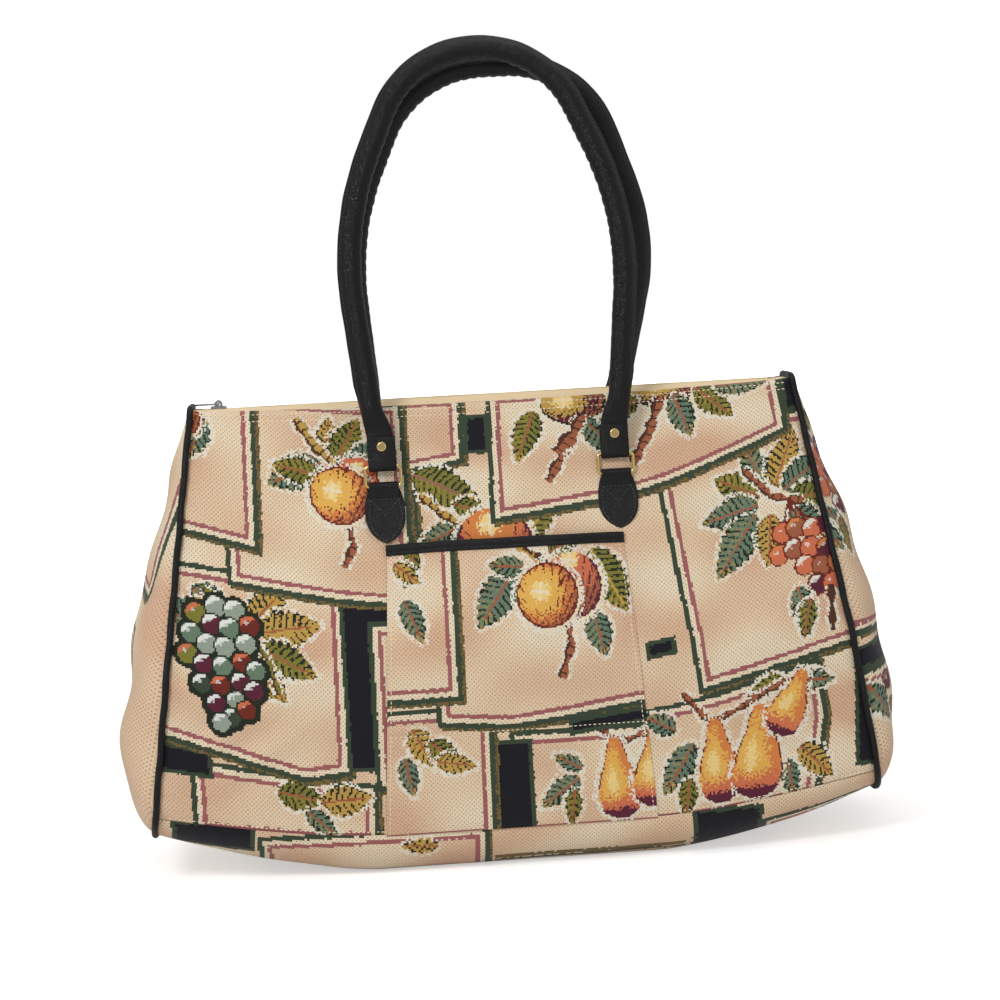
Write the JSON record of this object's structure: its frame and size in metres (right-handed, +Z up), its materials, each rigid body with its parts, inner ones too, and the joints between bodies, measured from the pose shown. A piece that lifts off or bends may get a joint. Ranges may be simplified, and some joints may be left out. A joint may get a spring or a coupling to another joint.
{
  "type": "carpet bag",
  "caption": "Soft travel bag in woven fruit tapestry with piped ends, a top zipper, a front pocket and rolled handles on rings.",
  "frame": {"origin": "middle of the base's resting face", "axes": "+Z up, +X along the bag, the pocket side faces -Y"},
  "size_m": [0.5576, 0.1809, 0.585],
  "materials": {
    "tapestry": "woven cotton tapestry with fruit and leaves in panes",
    "black_leather": "smooth satin leather",
    "lining_cloth": "plain thin lining",
    "zipper_tape": "ribbed cream tape",
    "zipper_coil": "cream nylon",
    "slider_metal": "grey nickel",
    "pale_brass": "polished pale brass",
    "core_cord": "twisted filler cord"
  },
  "bodies": {
    "bag": {"front_panel": "tapestry", "back_panel": "tapestry", "base_panel": "tapestry", "end_panel_left": "tapestry", "end_panel_right": "tapestry", "piping_left": "black_leather", "piping_right": "black_leather", "lining": "lining_cloth", "pocket_panel": "tapestry", "pocket_binding": "black_leather", "zipper_tape_front": "zipper_tape", "zipper_tape_back": "zipper_tape", "zipper_coil_front": "zipper_coil", "zipper_coil_back": "zipper_coil", "zipper_stops": "slider_metal", "tab_front_left": "black_leather", "tab_front_right": "black_leather", "tab_back_left": "black_leather", "tab_back_right": "black_leather"},
    "slider": {"zipper_slider": "slider_metal"},
    "pull": {"zipper_pull": "slider_metal"},
    "front_rings": {"ring_front_left": "pale_brass", "ring_front_right": "pale_brass"},
    "front_handle": {"handle_front": "black_leather", "handle_core_front": "core_cord", "rivet_front_left": "pale_brass", "rivet_front_right": "pale_brass"},
    "back_rings": {"ring_back_left": "pale_brass", "ring_back_right": "pale_brass"},
    "back_handle": {"handle_back": "black_leather", "handle_core_back": "core_cord", "rivet_back_left": "pale_brass", "rivet_back_right": "pale_brass"}
  },
  "joints": [
    {"name": "slider_run", "type": "slide", "parent": "bag", "child": "slider", "axis": [1, 0, 0], "range_m": [0, 0.394]},
    {"name": "pull_flip", "type": "hinge", "parent": "slider", "child": "pull", "pos_m": [-0.1972, 0, 0.33385], "axis": [0, 1, 0], "range_deg": [0, 175]},
    {"name": "front_rings_swing", "type": "hinge", "parent": "bag", "child": "front_rings", "pos_m": [0, -0.04283, 0.27161], "axis": [1, 0, 0], "range_deg": [0, 75]},
    {"name": "front_handle_swing", "type": "hinge", "parent": "front_rings", "child": "front_handle", "pos_m": [0, -0.04129, 0.28553], "axis": [1, 0, 0], "range_deg": [0, 80]},
    {"name": "back_rings_swing", "type": "hinge", "parent": "bag", "child": "back_rings", "pos_m": [0, 0.04283, 0.27161], "axis": [-1, 0, 0], "range_deg": [0, 75]},
    {"name": "back_handle_swing", "type": "hinge", "parent": "back_rings", "child": "back_handle", "pos_m": [0, 0.04123, 0.28552], "axis": [-1, 0, 0], "range_deg": [0, 80]}
  ]
}
